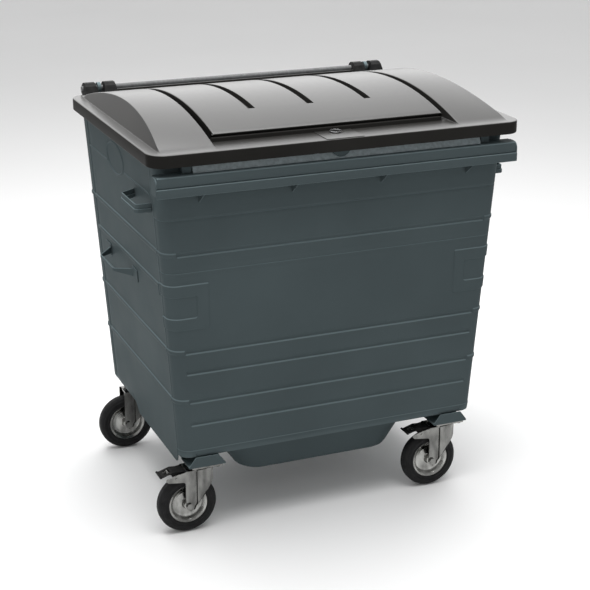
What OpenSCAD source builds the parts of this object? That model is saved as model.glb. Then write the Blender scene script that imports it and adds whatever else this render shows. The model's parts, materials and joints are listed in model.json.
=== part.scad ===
// Four-wheeled steel waste container with a domed lid and a smaller flap in the lid.
// Millimetres. Z up, origin on the floor under the centre of the overall box.
// Heights are drawn from a datum 10 mm under the floor; centred() moves every part up to the floor.
// The comb rim and the lock are at the front (-Y); the lid hinge is at the back (+Y).

/* [Body] */
// width of the pressed steel body at its top edge
body_top_w = 1199; // [1100:1:1250]
// width of the body at its bottom edge
body_low_w = 1058; // [950:1:1150]
// height of the body's bottom edge
body_low_z = 282; // [240:1:320]
// top edge of the body's sheet walls
body_top_z = 1300; // [1200:1:1350]
// front wall, distance from the centre line at the top and at the bottom
front_top_y = 415; // [380:1:440]
front_low_y = 386; // [340:1:420]
// rear wall, distance from the centre line at the top and at the bottom
rear_top_y = 446; // [420:1:460]
rear_low_y = 430; // [400:1:450]
// outside radius of the upright corners
corner_r = 38; // [20:1:60]
// sheet thickness of the body
sheet = 2; // [1.5:0.5:4]
// how far the pressed ridges stand out, and how tall they are
ridge_out = 3; // [2:0.5:5]
ridge_h = 18; // [12:1:26]

/* [Comb rim] */
// length of the lifting rim along the front
rim_len = 1228; // [1100:1:1250]
// height of the rim's top face
rim_top_z = 1245; // [1220:1:1260]
// how far in front of the centre line the rim's lower band stands
rim_front_y = 471; // [460:1:480]

/* [Lid] */
// lid length across the front
lid_w = 1256; // [1200:1:1300]
// lid depth from front to back
lid_d = 948; // [900:1:1000]
// height of the lid's flat border
lid_z = 1314; // [1250:1:1350]
// height of the turned-down skirt round the lid
skirt_h = 40; // [25:1:60]
// rise of the dome above the border
dome_h = 70; // [40:1:100]
// wall thickness of the moulded lid
lid_wall = 5; // [3:0.5:8]

/* [Flap] */
// width of the small flap in the lid
flap_w = 784; // [600:1:820]
// front edge of the flap, distance in front of the centre line
flap_front_y = 356; // [300:1:400]
// number of grooves pressed into the flap, and the distance between them
groove_count = 3; // [0:1:5]
groove_pitch = 203; // [120:1:240]

/* [Castors] */
// wheel diameter and tyre width
wheel_d = 200; // [160:1:200]
tyre_w = 50; // [40:1:55]
// swivel axis positions, either side of the centre lines
castor_x = 445; // [400:1:480]
castor_y = 351; // [300:1:380]
// distance of the axle from the swivel axis
trail = 62; // [40:1:70]

/* [Hidden] */
$fn = 64;
hair = 0.3;
over = 1;
// height of the floor above the drawing datum
ground = 10;
lid_r = 55;
// upright position and plan position of the lid's hinge axis
hinge_y = 500;
hinge_z = lid_z + 15;
rod_r = 9;
run_fit = 0.06;
// dome: a circular arc in the Y-Z plane, from the front foot to the rear foot
dome_front = -435;
dome_rear = 451;
dome_mid = (dome_front + dome_rear) / 2;
dome_half = (dome_rear - dome_front) / 2;
dome_r = (dome_half * dome_half + dome_h * dome_h) / (2 * dome_h);
dome_c = lid_z + dome_h - dome_r;
gable_x = 590;
gable_lean = 0.43;
cheek_x = 413;
cheek_lean = 0.14;
flap_half = flap_w / 2;
rear_strip_y = 390;
lock_x = 2;
lock_y = -388;
lock_r = 14;
cam_z = 1283;
cam_t = 6;
cam_len = 20;
flap_axis = [370, lid_z + 10];
// castor heights
castor_plate_z = 240;
castor_plate_t = 6;
crown_z = 228;
crown_t = 6;
axle_z = ground + wheel_d / 2;
cheek_y = 30;
cheek_t = 3.5;
castor_sides = [[-1, -1], [1, -1], [-1, 1], [1, 1]];
pedal_pin = [-104, 215];

paint = [0.25, 0.29, 0.30];
black = [0.11, 0.11, 0.11];
zinc = [0.72, 0.72, 0.70];
dull = [0.45, 0.45, 0.46];
pale = [0.66, 0.68, 0.69];
rubber = [0.13, 0.13, 0.13];

// the overall box runs from the lid's front edge to the back of the hinge eyes
lug_r = 21;
box_mid_y = (hinge_y + lug_r - lid_d / 2) / 2;

// ---------- shared helpers ----------

// moves parts drawn about the middle of the lid to the middle of the overall box, on the floor
module centred()
    translate([0, -box_mid_y, -ground])
        children();

// half width, front and rear of the body's outside at height z (the walls lean outwards)
function body_t(z) = (z - body_low_z) / (body_top_z - body_low_z);
function body_x(z) = (body_low_w + (body_top_w - body_low_w) * body_t(z)) / 2;
function body_front(z) = -(front_low_y + (front_top_y - front_low_y) * body_t(z));
function body_rear(z) = rear_low_y + (rear_top_y - rear_low_y) * body_t(z);

// the leaning outside shape of the body between two heights, grown by an even amount
module body_block(grow, z0, z1) {
    r = corner_r + grow;
    hull()
        for (z = [z0, z1], sx = [-1, 1], ry = [body_front(z) - grow + r, body_rear(z) + grow - r])
            translate([sx * (body_x(z) + grow - r), ry, z - (z == z1 ? 0.01 : 0)])
                cylinder(r = r, h = 0.01, $fn = 32);
}

// a box given by its two corners
module box(low, high) {
    translate(low)
        cube([high[0] - low[0], high[1] - low[1], high[2] - low[2]]);
}

// a flat plate with rounded upright corners, between two heights
module round_plate(x, front, rear, r, z0, z1) {
    translate([0, 0, z0])
        linear_extrude(z1 - z0) {
            translate([-x + r, front])
                square([2 * (x - r), rear - front]);
            translate([-x, front + r])
                square([2 * x, rear - front - 2 * r]);
            for (sx = [-1, 1], y = [front + r, rear - r])
                translate([sx * (x - r), y])
                    circle(r);
        }
}

// a profile drawn in the Y-Z plane, swept along X from x0 to x1
module sweep_x(x0, x1) {
    translate([x0, 0, 0])
        rotate([90, 0, 90])
            linear_extrude(x1 - x0)
                children();
}

// a profile drawn in the X-Z plane, swept along Y from y0 to y1
module sweep_y(y0, y1) {
    translate([0, y1, 0])
        rotate([90, 0, 0])
            linear_extrude(y1 - y0)
                children();
}

// ---------- body ----------

// levels of the ridges on the sides and corners, and of the grooves pressed in across the front
round_levels = [980, 653, 481];
groove_levels = [980, 653, 581, 481, 401];
groove_in = 3;
frame_w = 42;

// one pressed frame, open towards the corner
module corner_frame(side) {
    outer = [430, 728, 881];
    difference() {
        box([side > 0 ? outer[0] : -700, -500, outer[1]], [side > 0 ? 700 : -outer[0], 0, outer[2]]);
        box([side > 0 ? outer[0] + frame_w : -701, -501, outer[1] + frame_w],
            [side > 0 ? 701 : -outer[0] - frame_w, 1, outer[2] - frame_w]);
    }
}

module ridge_band(z, low_x, high_x, low_y, high_y, h = ridge_h) {
    box([low_x, low_y, z - h / 2], [high_x, high_y, z + h / 2]);
}

// the straight bars of metal that the front grooves take away, ending before the corners
module front_grooves(grow)
    for (z = groove_levels) {
        half = body_x(z) - 32 + grow;
        ridge_band(z, -half, half, -500, 0, 16 + 2 * grow);
    }

module front_panel() color(paint) {
    seam = -342.5;
    difference() {
        intersection() {
            union() {
                difference() {
                    body_block(0, body_low_z, body_top_z);
                    difference() {
                        front_grooves(0);
                        body_block(-groove_in, body_low_z, body_top_z);
                    }
                }
                intersection() {
                    body_block(ridge_out, body_low_z, body_top_z);
                    union() {
                        for (z = round_levels, side = [-1, 1])
                            mirror([side < 0 ? 1 : 0, 0, 0])
                                ridge_band(z, body_x(z) - 32, 700, -500, 0);
                        corner_frame(-1);
                        corner_frame(1);
                    }
                }
            }
            box([-700, -500, 0], [700, seam, 1400]);
        }
        difference() {
            body_block(-sheet, body_low_z - over, body_top_z + over);
            difference() {
                front_grooves(sheet);
                body_block(-sheet - groove_in, body_low_z, body_top_z);
            }
        }
    }
}

module rear_panel() color(paint)
    difference() {
        intersection() {
            union() {
                body_block(0, body_low_z, body_top_z);
                intersection() {
                    body_block(ridge_out, body_low_z, body_top_z);
                    for (z = round_levels)
                        ridge_band(z, -700, 700, 0, 500);
                }
            }
            box([-700, 366, 0], [700, 500, 1400]);
        }
        body_block(-sheet, body_low_z - over, body_top_z + over);
    }

// outline of a side panel in the Y-Z plane, with the deeper tab between the castors
module side_outline()
    polygon([[-341.5, 268], [-332, 253], [-316, 248], [95, 248], [130, body_low_z],
        [365, body_low_z], [365, body_top_z], [-341.5, body_top_z]]);

// the plain oval outline pressed into each side
module oval(grow)
    translate([45, 1188])
        scale([98 + grow, 56 + grow])
            circle(1, $fn = 64);

// left side panel; the right one is its mirror image
module side_panel() color(paint)
    difference() {
        intersection() {
            union() {
                body_block(0, 240, body_top_z);
                intersection() {
                    body_block(ridge_out, 240, body_top_z);
                    union() {
                        for (z = round_levels)
                            ridge_band(z, -700, 0, -400, 400);
                        ridge_band(865, -700, 0, -328, 400);
                        box([-700, -331, 829], [0, -313, 874]);
                        ridge_band(1160, -700, 0, 158, 400, 8);
                        ridge_band(1160, -700, 0, -330, -58, 8);
                        sweep_x(-700, 0)
                            difference() {
                                oval(0);
                                oval(-7);
                            }
                    }
                }
            }
            sweep_x(-700, 0)
                side_outline();
        }
        body_block(-sheet, 239, body_top_z + over);
        for (y = [-162, 268])
            translate([-620, y, 1183])
                rotate([0, 90, 0])
                    cylinder(r = 4, h = 60, $fn = 32);
    }

module side_panel_left()
    side_panel();

module side_panel_right()
    mirror([1, 0, 0])
        side_panel();

sump_z = 138;

// the dropped middle of the floor, as an upside-down frustum with rounded corners
module sump_block(grow, z0, z1) {
    low = [275, 270];
    high = [350, 312];
    r = 80 + grow;
    hull()
        for (level = [[low, z0], [high, z1]], sx = [-1, 1], sy = [-1, 1])
            translate([sx * (level[0][0] + grow - r), sy * (level[0][1] + grow - r), level[1]])
                cylinder(r = r, h = 0.01, $fn = 32);
}

module base_pan() color(paint)
    difference() {
        union() {
            intersection() {
                body_block(-sheet - hair, body_low_z, body_low_z + 20);
                box([-600, -500, body_low_z + 1], [600, 500, body_low_z + 4]);
            }
            sump_block(0, sump_z, body_low_z + 4);
        }
        sump_block(-sheet, sump_z + sheet, body_low_z + 4 + over);
    }

// angle-section frame round the top, with a tab that the lock's tongue turns under
module top_frame() color(paint) {
    x = body_top_w / 2;
    difference() {
        round_plate(x + 9, -front_top_y - 9, rear_top_y + 9, corner_r + 9, 1280, 1308);
        round_plate(x + 0.2, -front_top_y - 0.2, rear_top_y + 0.2, corner_r, 1280 - over, 1301);
        round_plate(x - 8, -front_top_y + 8, rear_top_y - 8, corner_r - 8, 1300, 1308 + over);
    }
    box([-16, -front_top_y + 7, 1292], [20, -front_top_y + 10, 1308]);
}

// points along a bend in the Y-Z plane, from angle a0 to a1
function bend_points(centre, r, a0, a1) =
    [for (i = [0:6]) let (a = a0 + (a1 - a0) * i / 6) centre + r * [cos(a), sin(a)]];

// section of the comb rim: one sheet bent over at the top and stepped out below
function rim_section() =
    let (t = 2.5, bend = 6, low = 1182, step = 1211)
    let (front = -rim_front_y, band = front + 5, back = body_front(rim_top_z) - hair)
    let (centre = [band + bend, rim_top_z - bend])
    concat([[back, rim_top_z]], bend_points(centre, bend, 90, 180),
        [[band, step], [front, step - 5], [front, low], [front + t, low], [front + t, step - 6],
            [band + t, step - 1]],
        bend_points(centre, bend - t, 180, 90), [[back, rim_top_z - t]]);

module comb_rim() color(paint) {
    sweep_x(-rim_len / 2 + 6, rim_len / 2 - 6)
        polygon(rim_section());
    // the lower band runs on in front of the end plates
    box([-rim_len / 2 + 2, -rim_front_y, 1182], [rim_len / 2 - 2, -rim_front_y + 2.5, 1204]);
}

// rounded end plates that close the comb rim
module rim_end_caps() color(paint)
    for (side = [-1, 1]) {
        x = side * (rim_len / 2 - 3);
        sweep_x(x - 2.7, x + 2.7) {
            polygon([[-rim_front_y + 5, 1188], [-rim_front_y + 5, rim_top_z - 14],
                [-440, rim_top_z], [-416, rim_top_z], [-416, 1188]]);
            translate([-rim_front_y + 19, rim_top_z - 14])
                circle(14);
        }
    }

module rim_gussets() color(paint)
    for (x = [-459, -153, 153, 459])
        sweep_x(x - 2, x + 2)
            polygon([[-rim_front_y + 6, 1183], [-rim_front_y + 6, 1206], [body_front(1215) - hair, 1215],
                [body_front(1143) - hair, 1143]]);

// pale strip between the lid stops, leaning out from the frame to the comb rim
module lid_rest() color(pale) {
    face = -front_top_y - 9.4;
    sweep_x(-489, 489)
        polygon([[face, 1296], [face - 2.5, 1296], [face - 2.5, 1284], [-447, 1250],
            [-447, rim_top_z + 0.4], [-444.5, rim_top_z + 0.4], [-444.5, 1249], [face, 1283]]);
}

module lid_stops() color(paint)
    for (x = [-507, 507])
        box([x - 15, -443, rim_top_z + 0.4], [x + 15, -front_top_y - 9.3, 1307.8]);

// half-round guard on the front of the pale strip, below the lock
module lock_guard() color(paint)
    difference() {
        translate([-5, -420, 1283.5])
            rotate([90, 0, 0])
                cylinder(r = 32, h = 32);
        box([-50, -460, 1304], [40, -400, 1330]);
        sweep_x(-50, 40)
            polygon([[-447.4, 1200], [-447.4, 1250], [-427.3, 1284], [-427.3, 1330], [-400, 1330],
                [-400, 1200]]);
    }

// ---------- handles ----------

// bent flat strap near the front top of each side
module upper_handle(side) color(paint) {
    wall = body_x(1108) + hair;
    out = 640;
    t = 5;
    translate([0, 0, 1108])
        linear_extrude(28)
            mirror([side < 0 ? 1 : 0, 0])
                polygon([[wall, -150], [out - 2, -181], [out, -184], [out, -335], [out - 2, -338],
                    [wall, -338], [wall, -338 + t], [out - t, -338 + t], [out - t, -187],
                    [wall, -150 - t - 1]]);
}

// the same height range, cut back to the leaning wall
module trimmed_upper_handle(side)
    difference() {
        upper_handle(side);
        sweep_y(-400, -100)
            mirror([side < 0 ? 1 : 0, 0])
                polygon([[0, 1090], [body_x(1090) + hair, 1090], [body_x(1150) + hair, 1150], [0, 1150]]);
    }

module upper_handle_left()
    trimmed_upper_handle(-1);

module upper_handle_right()
    trimmed_upper_handle(1);

// tapering strap with feet, half way along each side
module lower_handle(side) color(paint) {
    mid = [[790, 0], [845, 0]];
    out = 621;
    t = 6;
    mirror([side < 0 ? 1 : 0, 0, 0]) {
        intersection() {
            translate([0, 0, 780])
                linear_extrude(70)
                    polygon([[540, 233], [out, 184], [out, 23], [540, -34], [540, -34 + t + 2],
                        [out - t, 23 + t], [out - t, 184 - t], [540, 233 - t - 2]]);
            sweep_y(-100, 300)
                polygon([[body_x(803) + hair, 803], [out, 809], [out + over, 809], [out + over, 821],
                    [out, 821], [body_x(829) + hair, 829]]);
        }
        for (y = [[-86, -27], [226, 285]])
            sweep_y(y[0], y[1])
                polygon([[body_x(795) + hair, 795], [body_x(795) + 3, 795], [body_x(839) + 3, 839],
                    [body_x(839) + hair, 839]]);
    }
}

module lower_handle_left()
    lower_handle(-1);

module lower_handle_right()
    lower_handle(1);

// ---------- lid hinge ----------

module hinge_brackets() color(paint)
    for (x = [-515.5, 515.5])
        sweep_x(x - 6, x + 6)
            difference() {
                union() {
                    translate([hinge_y, hinge_z])
                        circle(19);
                    polygon([[body_rear(1205) + hair, 1205], [body_rear(1268) + hair, 1268],
                        [458, 1268], [486, 1316], [517, 1320], [462, 1210]]);
                }
                translate([hinge_y, hinge_z])
                    circle(rod_r);
            }

module hinge_rod() color(dull)
    translate([-577, hinge_y, hinge_z])
        rotate([0, 90, 0])
            cylinder(r = rod_r, h = 1154);

// four eyes on the lid's rear border, in pairs either side of a bracket
module hinge_lugs() color(black)
    for (side = [-1, 1], x = [480, 550])
        difference() {
            intersection() {
                translate([side * x, 0, 0])
                    sweep_x(-24, 24) {
                        translate([hinge_y, hinge_z])
                            circle(lug_r);
                        polygon([[454, lid_z], [468, 1341], [482, 1350], [hinge_y, 1350], [512, 1312],
                            [475, 1309], [475, lid_z]]);
                    }
                translate([side * x, 0, 0])
                    sweep_y(440, 540)
                        polygon([[-24, 1300], [-24, 1316], [-18, 1351], [18, 1351], [24, 1316], [24, 1300]]);
            }
            translate([side * x - 30, hinge_y, hinge_z])
                rotate([0, 90, 0])
                    cylinder(r = rod_r + run_fit, h = 60);
        }

// ---------- lid ----------

// the dome's section in the Y-Z plane, pulled inwards by an even amount and cut off below
module dome_section(inset, low = lid_z - over)
    intersection() {
        translate([dome_mid, dome_c])
            circle(dome_r - inset, $fn = 180);
        translate([dome_front - 20, low])
            square([dome_rear - dome_front + 40, lid_z + dome_h + 5 - low]);
    }

// left dome half between the leaning gable and the wall beside the flap, which leans a little too
module cheek_block(inset, low) {
    top = lid_z + dome_h + over;
    foot = -gable_x + inset * 1.09;
    side = -cheek_x - inset;
    intersection() {
        sweep_x(-gable_x - 20, -cheek_x + 20)
            dome_section(inset, low);
        sweep_y(-600, 600)
            polygon([[foot + gable_lean * (low - lid_z), low], [foot + gable_lean * (top - lid_z), top],
                [side - cheek_lean * (top - lid_z), top], [side - cheek_lean * (low - lid_z), low]]);
    }
}

// border plate with its turned-down skirt, open underneath
module lid_tray() {
    half = [lid_w / 2, lid_d / 2];
    plate = 5.6;
    difference() {
        round_plate(half[0], -half[1], half[1], lid_r, lid_z - skirt_h, lid_z);
        round_plate(half[0] - lid_wall, -half[1] + lid_wall, half[1] - lid_wall, lid_r - lid_wall,
            lid_z - skirt_h - over, lid_z - plate);
        // the rear skirt is short so that it clears the body as the lid swings
        box([-614, 400, lid_z - skirt_h - over], [614, 500, lid_z - 12]);
    }
}

module lid_shell() color(black)
    difference() {
        union() {
            lid_tray();
            for (side = [0, 1])
                mirror([side, 0, 0])
                    cheek_block(0, lid_z - over);
            sweep_x(-cheek_x - 6, cheek_x + 6)
                intersection() {
                    dome_section(0);
                    translate([rear_strip_y, lid_z - over])
                        square([80, 80]);
                }
        }
        for (side = [0, 1])
            mirror([side, 0, 0]) {
                cheek_block(lid_wall, lid_z - 7);
                translate([-flap_half - 60, flap_axis[0], flap_axis[1]])
                    rotate([0, 90, 0])
                        cylinder(r = 5, h = 50, $fn = 48);
            }
        // hollow under the strip behind the flap
        sweep_x(-cheek_x + lid_wall, cheek_x - lid_wall)
            intersection() {
                dome_section(lid_wall, lid_z - 7);
                translate([rear_strip_y + lid_wall, lid_z - 7])
                    square([80, 80]);
            }
        // the way in under the flap
        box([-365, -335, lid_z - skirt_h], [365, rear_strip_y, lid_z + over]);
        // room for the flap's rear corners as it swings
        box([-flap_half - 1, 340, lid_z - skirt_h], [flap_half + 1, rear_strip_y, lid_z + over]);
        translate([lock_x, lock_y, lid_z - 20])
            cylinder(r = lock_r, h = 40);
    }

module lock_plate() color(black)
    difference() {
        box([-62, -470.5, lid_z], [64, -362, lid_z + 2]);
        translate([lock_x, lock_y, lid_z - over])
            cylinder(r = lock_r, h = 5);
    }

module lock_barrel() color(zinc)
    translate([lock_x, lock_y, 0])
        difference() {
            union() {
                translate([0, 0, lid_z + 2.3])
                    cylinder(r = 21, h = 4.7);
                translate([0, 0, cam_z + cam_t])
                    cylinder(r = lock_r - 0.08, h = lid_z + 3 - cam_z - cam_t);
                translate([0, 0, cam_z - 2])
                    cylinder(r = 4.95, h = 10);
            }
            translate([0, 0, lid_z + 3])
                cylinder(r = 9, h = 10, $fn = 3);
        }

// tongue that swings from along the front to pointing forward, under the frame's tab
module lock_cam() color(zinc)
    translate([lock_x, lock_y, cam_z])
        linear_extrude(cam_t)
            difference() {
                union() {
                    circle(9);
                    translate([0, -6])
                        square([cam_len, 12]);
                }
                circle(5);
            }

// ---------- flap ----------

// outside of the flap, including its thin front lip
module flap_outside()
    sweep_x(-flap_half, flap_half)
        intersection() {
            dome_section(0);
            union() {
                translate([-flap_front_y + 8, lid_z + 0.4])
                    square([flap_axis[0] + 14 + flap_front_y - 8, 80]);
                translate([-flap_front_y, lid_z + 17])
                    square([20, 40]);
            }
        }

module flap_inside() {
    t = 4;
    sweep_x(-flap_half + t, flap_half - t)
        intersection() {
            dome_section(t);
            translate([-flap_front_y + 8 + t, lid_z - over])
                square([flap_axis[0] + 14 + flap_front_y - 8 - 2 * t, 90]);
        }
}

module flap_shell() color(black)
    difference() {
        union() {
            difference() {
                flap_outside();
                flap_inside();
            }
            // stiff backs under the grooves
            for (i = [0:groove_count - 1])
                groove_bar(i, 13, 4.5, -200);
            // bosses round the pivot pins
            intersection() {
                flap_outside();
                for (side = [-1, 1])
                    translate([side * (flap_half - 10) - 10, flap_axis[0], flap_axis[1]])
                        rotate([0, 90, 0])
                            cylinder(r = 9.5, h = 20);
            }
        }
        for (i = [0:groove_count - 1])
            groove_bar(i, 8, 0, -197);
        for (side = [-1, 1])
            translate([side * (flap_half - 10) - 12, flap_axis[0], flap_axis[1]])
                rotate([0, 90, 0])
                    cylinder(r = 5 + run_fit, h = 24, $fn = 48);
    }

// a curved bar that follows the dome, as deep as the given inset
module groove_bar(i, inset, extra, front) {
    x = (i - (groove_count - 1) / 2) * groove_pitch;
    sweep_x(x - 10 - extra, x + 10 + extra)
        intersection() {
            difference() {
                dome_section(extra > 0 ? 1 : -3);
                dome_section(inset);
            }
            translate([front, lid_z])
                square([352 - front + extra, 90]);
        }
}

module flap_pins() color(zinc)
    for (side = [-1, 1])
        translate([side * (flap_half + 10) - 23, flap_axis[0], flap_axis[1]])
            rotate([0, 90, 0])
                cylinder(r = 5, h = 46, $fn = 48);

// ---------- castors ----------

// places a part drawn round its own swivel axis at one corner
module at_castor(i)
    translate([castor_sides[i][0] * castor_x, castor_sides[i][1] * castor_y, 0])
        children();

// folded channel between a castor plate and the floor pan, open towards both sides
module castor_mounts() color(paint)
    for (i = [0:3])
        at_castor(i)
            difference() {
                union() {
                    box([-62, -44, 246.3], [62, 44, 250.3]);
                    for (y = [-44, 40])
                        sweep_y(y, y + 4)
                            polygon([[-62, 246.3], [62, 246.3], [62, 252], [39, body_low_z + 0.6],
                                [-39, body_low_z + 0.6], [-62, 252]]);
                }
                castor_holes(5.2);
            }

// the four bolt holes shared by a castor plate and its mount
module castor_holes(r)
    for (x = [-40, 40], y = [-30, 30])
        translate([x, y, 230])
            cylinder(r = r, h = 30, $fn = 32);

module castor_bolts() color(zinc)
    for (i = [0:3], x = [-40, 40], y = [-30, 30])
        at_castor(i)
            translate([x, y, 0]) {
                translate([0, 0, castor_plate_z - 4.6])
                    cylinder(r = 8, h = 4.5, $fn = 6);
                translate([0, 0, castor_plate_z - 4])
                    cylinder(r = 4.8, h = 22, $fn = 32);
                translate([0, 0, 252.1])
                    cylinder(r = 8, h = 6, $fn = 6);
            }

module castor_plate(i) color(zinc)
    at_castor(i) {
        difference() {
            box([-52, -42, castor_plate_z], [52, 42, castor_plate_z + castor_plate_t]);
            castor_holes(5.2);
        }
        translate([0, 0, crown_z + crown_t + 0.4])
            cylinder(r = 30, h = castor_plate_z - crown_z - crown_t);
        translate([0, 0, 216])
            cylinder(r = 6, h = 26);
        translate([0, 0, 216])
            cylinder(r = 11, h = crown_z - 216 - 0.4, $fn = 6);
    }

// outline of one fork cheek in the X-Z plane; braked forks have an arm for the pedal
module cheek_outline(braked) {
    top = crown_z + crown_t;
    left = -trail - 11;
    translate([-trail + 8, axle_z - 1])
        circle(19);
    polygon([[left, axle_z], [left, 196], [-58, top], [24, top], [24, 180], [9, 163],
        [-trail + 27, axle_z]]);
    if (braked)
        polygon([[left, 190], [-90, 196], [-131, 203], [-139, 210], [-137, 218], [-44, top],
            [-44, 190]]);
}

module fork(i, braked) color(zinc)
    at_castor(i)
        difference() {
            union() {
                for (side = [-1, 1])
                    translate([0, side * (cheek_y + cheek_t / 2), 0])
                        sweep_y(-cheek_t / 2, cheek_t / 2)
                            cheek_outline(braked);
                box([-44, -cheek_y - 1, crown_z], [24, cheek_y + 1, crown_z + crown_t]);
            }
            translate([0, 0, 200])
                cylinder(r = 6 + run_fit, h = 50);
            translate([-trail, 50, axle_z])
                rotate([90, 0, 0])
                    cylinder(r = 6.1, h = 100, $fn = 48);
            if (braked)
                translate([pedal_pin[0], 50, pedal_pin[1]])
                    rotate([90, 0, 0])
                        cylinder(r = 4, h = 100, $fn = 48);
        }

module axle(i) color(zinc)
    at_castor(i)
        translate([-trail, 0, axle_z])
            rotate([90, 0, 0]) {
                reach = cheek_y + cheek_t + 0.1;
                translate([0, 0, -reach - 9])
                    cylinder(r = 6, h = 2 * reach + 9, $fn = 48);
                translate([0, 0, reach])
                    cylinder(r = 10, h = 7, $fn = 6);
                translate([0, 0, -reach - 8])
                    cylinder(r = 10, h = 8, $fn = 6);
            }

// pressed disc with a hub tube, turned about the axle
module wheel_disc(i) color(zinc)
    at_castor(i)
        translate([-trail, 0, axle_z])
            rotate([90, 0, 0])
                rotate_extrude($fn = 96)
                    polygon([[6 + run_fit, -29], [16, -29], [17, -10], [44, -4], [56, -17], [64, -19],
                        [66, -17], [66, 17], [64, 19], [56, 17], [44, 4], [17, 10], [16, 29],
                        [6 + run_fit, 29]]);

module tyre(i) color(rubber)
    at_castor(i)
        translate([-trail, 0, axle_z])
            rotate([90, 0, 0])
                rotate_extrude($fn = 96) {
                    w = tyre_w / 2;
                    r = wheel_d / 2;
                    polygon([[66, -18], [70, -w + 3], [76, -w], [r - 12, -w + 2], [r - 4, -w + 9],
                        [r, -w + 18], [r, w - 18], [r - 4, w - 9], [r - 12, w - 2], [76, w],
                        [70, w - 3], [66, 18]]);
                }

// brake pedal: an arched plate with a window, on two ears round its pin
module pedal(i) color(black)
    at_castor(i)
        difference() {
            union() {
                sweep_y(-24, 24)
                    polygon([[-66, 229], [-112, 232.5], [-148, 221.5], [-148.8, 224.4], [-112.4, 235.6],
                        [-66, 232]]);
                for (side = [-1, 1])
                    translate([0, side * 22.5, 0])
                        sweep_y(-1.5, 1.5) {
                            translate(pedal_pin)
                                circle(9);
                            polygon([[-113, pedal_pin[1]], [-95, pedal_pin[1]], [-86, 231], [-120, 231]]);
                        }
            }
            box([-140, -12, 215], [-118, 12, 240]);
            translate([pedal_pin[0], 50, pedal_pin[1]])
                rotate([90, 0, 0])
                    cylinder(r = 4 + run_fit, h = 100, $fn = 48);
        }

module pedal_cap(i) color(black)
    at_castor(i)
        sweep_y(-25, 25)
            polygon([[-149.1, 220.5], [-155, 219.5], [-158.5, 224], [-154, 227.5], [-149.1, 224.8]]);

module pedal_pin(i) color(zinc)
    at_castor(i)
        translate([pedal_pin[0], cheek_y + cheek_t + 2, pedal_pin[1]])
            rotate([90, 0, 0])
                cylinder(r = 4, h = 2 * (cheek_y + cheek_t + 2), $fn = 48);

centred() front_panel();
centred() rear_panel();
centred() side_panel_left();
centred() side_panel_right();
centred() base_pan();
centred() top_frame();
centred() comb_rim();
centred() rim_end_caps();
centred() rim_gussets();
centred() lid_rest();
centred() lid_stops();
centred() lock_guard();
centred() upper_handle_left();
centred() upper_handle_right();
centred() lower_handle_left();
centred() lower_handle_right();
centred() hinge_brackets();
centred() hinge_rod();
centred() castor_mounts();
centred() castor_bolts();
centred() castor_plate(0);  // castor_plate_fl
centred() castor_plate(1);  // castor_plate_fr
centred() castor_plate(2);  // castor_plate_rl
centred() castor_plate(3);  // castor_plate_rr
centred() lid_shell();
centred() hinge_lugs();
centred() lock_plate();
centred() flap_pins();
centred() flap_shell();
centred() lock_barrel();
centred() lock_cam();
centred() fork(0, true);  // fork_fl
centred() fork(1, true);  // fork_fr
centred() fork(2, false);  // fork_rl
centred() fork(3, false);  // fork_rr
centred() axle(0);  // axle_fl
centred() axle(1);  // axle_fr
centred() axle(2);  // axle_rl
centred() axle(3);  // axle_rr
centred() wheel_disc(0);  // wheel_disc_fl
centred() wheel_disc(1);  // wheel_disc_fr
centred() wheel_disc(2);  // wheel_disc_rl
centred() wheel_disc(3);  // wheel_disc_rr
centred() tyre(0);  // tyre_fl
centred() tyre(1);  // tyre_fr
centred() tyre(2);  // tyre_rl
centred() tyre(3);  // tyre_rr
centred() pedal(0);  // pedal_fl
centred() pedal(1);  // pedal_fr
centred() pedal_pin(0);  // pedal_pin_fl
centred() pedal_pin(1);  // pedal_pin_fr
centred() pedal_cap(0);  // pedal_cap_fl
centred() pedal_cap(1);  // pedal_cap_fr
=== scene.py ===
"""Looks of a four-wheeled steel waste container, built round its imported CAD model.

Metres, Z up. Shapes are drawn about the middle of the lid, with heights from a datum under the
floor, and make() moves them into the frame.
"""
import json
import math

import bmesh
import bpy
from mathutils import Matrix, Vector


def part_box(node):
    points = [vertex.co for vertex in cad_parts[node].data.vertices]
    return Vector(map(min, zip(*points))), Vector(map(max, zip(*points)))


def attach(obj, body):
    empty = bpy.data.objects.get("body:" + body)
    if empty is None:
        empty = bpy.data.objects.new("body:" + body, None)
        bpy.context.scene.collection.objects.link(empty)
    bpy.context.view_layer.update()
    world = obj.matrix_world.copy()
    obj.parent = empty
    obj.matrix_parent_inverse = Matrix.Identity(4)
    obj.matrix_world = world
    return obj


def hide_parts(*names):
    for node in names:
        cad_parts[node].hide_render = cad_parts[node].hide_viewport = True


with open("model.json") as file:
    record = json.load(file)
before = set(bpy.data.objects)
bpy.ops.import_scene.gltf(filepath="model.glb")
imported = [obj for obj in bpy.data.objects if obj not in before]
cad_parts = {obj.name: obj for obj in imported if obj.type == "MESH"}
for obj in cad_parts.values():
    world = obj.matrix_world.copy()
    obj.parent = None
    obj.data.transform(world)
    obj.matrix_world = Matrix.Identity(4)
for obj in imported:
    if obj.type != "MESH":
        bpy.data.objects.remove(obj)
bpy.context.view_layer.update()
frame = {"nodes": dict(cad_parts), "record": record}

# ---------- sizes ----------

lid_low, lid_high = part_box("lid_shell")
GROUND = 0.010
SHIFT = Vector((0, (lid_low.y + lid_high.y) / 2, -GROUND))
LID_X = lid_high.x
LID_Y = (lid_high.y - lid_low.y) / 2
LID_Z = 1.314
SKIRT = LID_Z - GROUND - lid_low.z

BODY_LOW_Z = 0.282
BODY_TOP_Z = 1.300
CORNER_R = 0.038
SHEET = 0.002

DOME_FRONT = -0.435
DOME_REAR = 0.451
DOME_H = 0.070
CHEEK_X = 0.413
GABLE_X = 0.590
GABLE_LEAN = 0.43

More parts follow.
